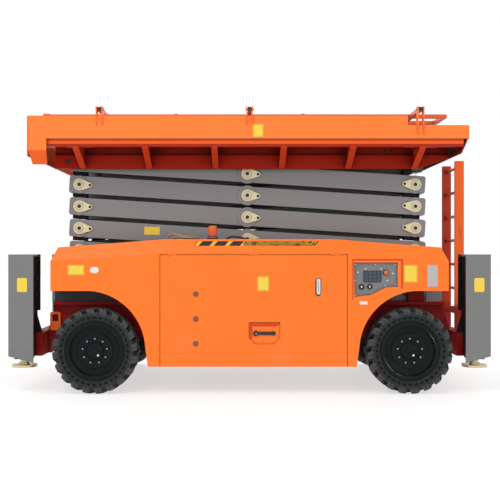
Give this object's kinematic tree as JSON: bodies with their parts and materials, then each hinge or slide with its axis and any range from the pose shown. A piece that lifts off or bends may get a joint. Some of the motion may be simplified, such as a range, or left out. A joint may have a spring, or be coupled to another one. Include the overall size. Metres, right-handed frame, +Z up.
{
  "type": "rough-terrain scissor lift",
  "caption": "Self-propelled rough-terrain scissor lift, stowed: a railed platform on a folded stack of crossed arms over a wheeled chassis with side covers, outriggers and a rear ladder.",
  "frame": {"origin": "on the ground under the middle of the whole machine's bounding box", "axes": "+X towards the ladder end, +Y towards the far side, away from the ground controls, +Z up"},
  "size_m": [4.734, 2.3, 2.814],
  "materials": {
    "frame_red": "satin",
    "cover_orange": "gloss",
    "arm_blue": "satin",
    "shroud_grey": "satin",
    "leg_black": "satin",
    "channel_grey": "satin",
    "rim_dark": "satin",
    "tyre": "matte",
    "panel_grey": "satin",
    "beacon_amber": "gloss",
    "cylinder_black": "satin",
    "rod_chrome": "polished",
    "deck_steel": "satin",
    "rail_blue": "satin",
    "engine_iron": "rough"
  },
  "bodies": {
    "chassis": {"chassis_frame": "frame_red", "base_channels": "channel_grey", "tie_down_loops": "cover_orange", "engine_block": "engine_iron", "side_cover_near": "cover_orange", "side_cover_far": "cover_orange", "control_panel": "panel_grey", "beacon": "beacon_amber", "axle_front": "frame_red", "axle_rear": "frame_red", "outrigger_legs": "leg_black", "outrigger_shrouds": "shroud_grey", "ladder": "cover_orange"},
    "platform": {"platform_channels": "frame_red", "platform_joists": "frame_red", "platform_edge_tubes": "frame_red", "platform_gussets": "frame_red", "platform_floor": "deck_steel", "platform_fascia": "cover_orange", "platform_tail": "cover_orange", "rear_rail": "rail_blue"},
    "extension_deck": {"extension_deck": "cover_orange", "front_rail": "rail_blue"},
    "side_rail_near": {"side_rail_near": "rail_blue"},
    "side_rail_far": {"side_rail_far": "rail_blue"},
    "door_near": {"side_door_near": "cover_orange"},
    "door_far": {"side_door_far": "cover_orange"},
    "knuckle_near": {"knuckle_near": "frame_red"},
    "knuckle_far": {"knuckle_far": "frame_red"},
    "lower_barrels": {"lower_cylinder_barrels": "cylinder_black"},
    "lower_rods": {"lower_cylinder_rods": "rod_chrome"},
    "upper_barrels": {"upper_cylinder_barrels": "cylinder_black"},
    "upper_rods": {"upper_cylinder_rods": "rod_chrome"},
    "outer_arm_1": {"outer_arm_1": "arm_blue"},
    "inner_arm_1": {"inner_arm_1": "arm_blue"},
    "outer_arm_2": {"outer_arm_2": "arm_blue"},
    "inner_arm_2": {"inner_arm_2": "arm_blue"},
    "outer_arm_3": {"outer_arm_3": "arm_blue"},
    "inner_arm_3": {"inner_arm_3": "arm_blue"},
    "outer_arm_4": {"outer_arm_4": "arm_blue"},
    "inner_arm_4": {"inner_arm_4": "arm_blue"},
    "outer_arm_5": {"outer_arm_5": "arm_blue"},
    "inner_arm_5": {"inner_arm_5": "arm_blue"},
    "outer_arm_6": {"outer_arm_6": "arm_blue"},
    "inner_arm_6": {"inner_arm_6": "arm_blue"},
    "wheel_front_near": {"tyre_front_near": "tyre", "rim_front_near": "rim_dark"},
    "foot_front_near": {"foot_front_near": "leg_black"},
    "wheel_front_far": {"tyre_front_far": "tyre", "rim_front_far": "rim_dark"},
    "foot_front_far": {"foot_front_far": "leg_black"},
    "wheel_rear_near": {"tyre_rear_near": "tyre", "rim_rear_near": "rim_dark"},
    "foot_rear_near": {"foot_rear_near": "leg_black"},
    "wheel_rear_far": {"tyre_rear_far": "tyre", "rim_rear_far": "rim_dark"},
    "foot_rear_far": {"foot_rear_far": "leg_black"}
  },
  "joints": [
    {"name": "scissor_fold", "type": "hinge", "parent": "chassis", "child": "outer_arm_1", "pos_m": [1.728, 0, 0.96], "axis": [0, 1, 0], "range_deg": [0, 50]},
    {"name": "inner_arm_1_pivot", "type": "hinge", "parent": "outer_arm_1", "child": "inner_arm_1", "pos_m": [-0.01833, 0, 1.07325], "axis": [0, 1, 0], "range_deg": [-100, 0]},
    {"name": "outer_arm_2_pivot", "type": "hinge", "parent": "inner_arm_1", "child": "outer_arm_2", "pos_m": [1.728, 0, 1.1865], "axis": [0, 1, 0], "range_deg": [0, 100]},
    {"name": "inner_arm_2_pivot", "type": "hinge", "parent": "outer_arm_2", "child": "inner_arm_2", "pos_m": [-0.01833, 0, 1.29975], "axis": [0, 1, 0], "range_deg": [-100, 0]},
    {"name": "outer_arm_3_pivot", "type": "hinge", "parent": "inner_arm_2", "child": "outer_arm_3", "pos_m": [1.728, 0, 1.413], "axis": [0, 1, 0], "range_deg": [0, 100]},
    {"name": "inner_arm_3_pivot", "type": "hinge", "parent": "outer_arm_3", "child": "inner_arm_3", "pos_m": [-0.01833, 0, 1.52625], "axis": [0, 1, 0], "range_deg": [-100, 0]},
    {"name": "outer_arm_4_pivot", "type": "hinge", "parent": "inner_arm_3", "child": "outer_arm_4", "pos_m": [1.728, 0, 1.6395], "axis": [0, 1, 0], "range_deg": [0, 100]},
    {"name": "inner_arm_4_pivot", "type": "hinge", "parent": "outer_arm_4", "child": "inner_arm_4", "pos_m": [-0.01833, 0, 1.75275], "axis": [0, 1, 0], "range_deg": [-100, 0]},
    {"name": "outer_arm_5_pivot", "type": "hinge", "parent": "inner_arm_4", "child": "outer_arm_5", "pos_m": [1.728, 0, 1.866], "axis": [0, 1, 0], "range_deg": [0, 100]},
    {"name": "inner_arm_5_pivot", "type": "hinge", "parent": "outer_arm_5", "child": "inner_arm_5", "pos_m": [-0.01833, 0, 1.97925], "axis": [0, 1, 0], "range_deg": [-100, 0]},
    {"name": "outer_arm_6_pivot", "type": "hinge", "parent": "inner_arm_5", "child": "outer_arm_6", "pos_m": [1.728, 0, 2.0925], "axis": [0, 1, 0], "range_deg": [0, 100]},
    {"name": "inner_arm_6_pivot", "type": "hinge", "parent": "outer_arm_6", "child": "inner_arm_6", "pos_m": [-0.01833, 0, 2.20575], "axis": [0, 1, 0], "range_deg": [-100, 0]},
    {"name": "platform_level", "type": "hinge", "parent": "inner_arm_6", "child": "platform", "pos_m": [1.728, 0, 2.319], "axis": [0, 1, 0], "range_deg": [0, 50]},
    {"name": "lower_cylinder_swing", "type": "hinge", "parent": "outer_arm_2", "child": "lower_barrels", "pos_m": [1.728, 0, 1.1865], "axis": [0, 1, 0], "range_deg": [0, 11.91]},
    {"name": "lower_cylinder_stroke", "type": "slide", "parent": "lower_barrels", "child": "lower_rods", "axis": [-0.9976, 0, 0.0699], "range_m": [0, 0.5218]},
    {"name": "upper_cylinder_swing", "type": "hinge", "parent": "outer_arm_4", "child": "upper_barrels", "pos_m": [1.728, 0, 1.6395], "axis": [0, 1, 0], "range_deg": [0, 11.91]},
    {"name": "upper_cylinder_stroke", "type": "slide", "parent": "upper_barrels", "child": "upper_rods", "axis": [-0.9976, 0, 0.0699], "range_m": [0, 0.5218]},
    {"name": "steer_near", "type": "hinge", "parent": "chassis", "child": "knuckle_near", "pos_m": [-1.516, -0.76, 0.42], "axis": [0, 0, 1], "range_deg": [-28, 28]},
    {"name": "steer_far", "type": "hinge", "parent": "chassis", "child": "knuckle_far", "pos_m": [-1.516, 0.76, 0.42], "axis": [0, 0, 1], "range_deg": [-28, 28]},
    {"name": "wheel_front_near_spin", "type": "hinge", "parent": "knuckle_near", "child": "wheel_front_near", "pos_m": [-1.516, -1, 0.42], "axis": [0, 1, 0], "continuous": true},
    {"name": "wheel_rear_near_spin", "type": "hinge", "parent": "chassis", "child": "wheel_rear_near", "pos_m": [1.57, -1, 0.42], "axis": [0, 1, 0], "continuous": true},
    {"name": "door_near_hinge", "type": "hinge", "parent": "chassis", "child": "door_near", "pos_m": [0, -1.12, 1.3635], "axis": [-1, 0, 0], "range_deg": [0, 85]},
    {"name": "side_rail_near_fold", "type": "hinge", "parent": "platform", "child": "side_rail_near", "pos_m": [0, -1.096, 2.79], "axis": [1, 0, 0], "range_deg": [0, 90]},
    {"name": "foot_front_near_jack", "type": "slide", "parent": "chassis", "child": "foot_front_near", "axis": [0, 0, -1], "range_m": [0, 0.55]},
    {"name": "foot_rear_near_jack", "type": "slide", "parent": "chassis", "child": "foot_rear_near", "axis": [0, 0, -1], "range_m": [0, 0.55]},
    {"name": "wheel_front_far_spin", "type": "hinge", "parent": "knuckle_far", "child": "wheel_front_far", "pos_m": [-1.516, 1, 0.42], "axis": [0, 1, 0], "continuous": true},
    {"name": "wheel_rear_far_spin", "type": "hinge", "parent": "chassis", "child": "wheel_rear_far", "pos_m": [1.57, 1, 0.42], "axis": [0, 1, 0], "continuous": true},
    {"name": "door_far_hinge", "type": "hinge", "parent": "chassis", "child": "door_far", "pos_m": [0, 1.12, 1.3635], "axis": [1, 0, 0], "range_deg": [0, 85]},
    {"name": "side_rail_far_fold", "type": "hinge", "parent": "platform", "child": "side_rail_far", "pos_m": [0, 1.096, 2.79], "axis": [-1, 0, 0], "range_deg": [0, 90]},
    {"name": "foot_front_far_jack", "type": "slide", "parent": "chassis", "child": "foot_front_far", "axis": [0, 0, -1], "range_m": [0, 0.55]},
    {"name": "foot_rear_far_jack", "type": "slide", "parent": "chassis", "child": "foot_rear_far", "axis": [0, 0, -1], "range_m": [0, 0.55]},
    {"name": "deck_roll_out", "type": "slide", "parent": "platform", "child": "extension_deck", "axis": [-1, 0, 0], "range_m": [0, 1.2]}
  ],
  "couplings": [
    {"joint": "inner_arm_1_pivot", "follows": "scissor_fold", "ratio": -2},
    {"joint": "outer_arm_2_pivot", "follows": "scissor_fold", "ratio": 2},
    {"joint": "inner_arm_2_pivot", "follows": "scissor_fold", "ratio": -2},
    {"joint": "outer_arm_3_pivot", "follows": "scissor_fold", "ratio": 2},
    {"joint": "inner_arm_3_pivot", "follows": "scissor_fold", "ratio": -2},
    {"joint": "outer_arm_4_pivot", "follows": "scissor_fold", "ratio": 2},
    {"joint": "inner_arm_4_pivot", "follows": "scissor_fold", "ratio": -2},
    {"joint": "outer_arm_5_pivot", "follows": "scissor_fold", "ratio": 2},
    {"joint": "inner_arm_5_pivot", "follows": "scissor_fold", "ratio": -2},
    {"joint": "outer_arm_6_pivot", "follows": "scissor_fold", "ratio": 2},
    {"joint": "inner_arm_6_pivot", "follows": "scissor_fold", "ratio": -2},
    {"joint": "platform_level", "follows": "scissor_fold", "ratio": 1},
    {"joint": "lower_cylinder_swing", "follows": "scissor_fold", "ratio": 0.23811},
    {"joint": "lower_cylinder_stroke", "follows": "scissor_fold", "m_per_rad": 0.5976},
    {"joint": "upper_cylinder_swing", "follows": "scissor_fold", "ratio": 0.23811},
    {"joint": "upper_cylinder_stroke", "follows": "scissor_fold", "m_per_rad": 0.5976},
    {"joint": "steer_far", "follows": "steer_near", "ratio": 1}
  ]
}
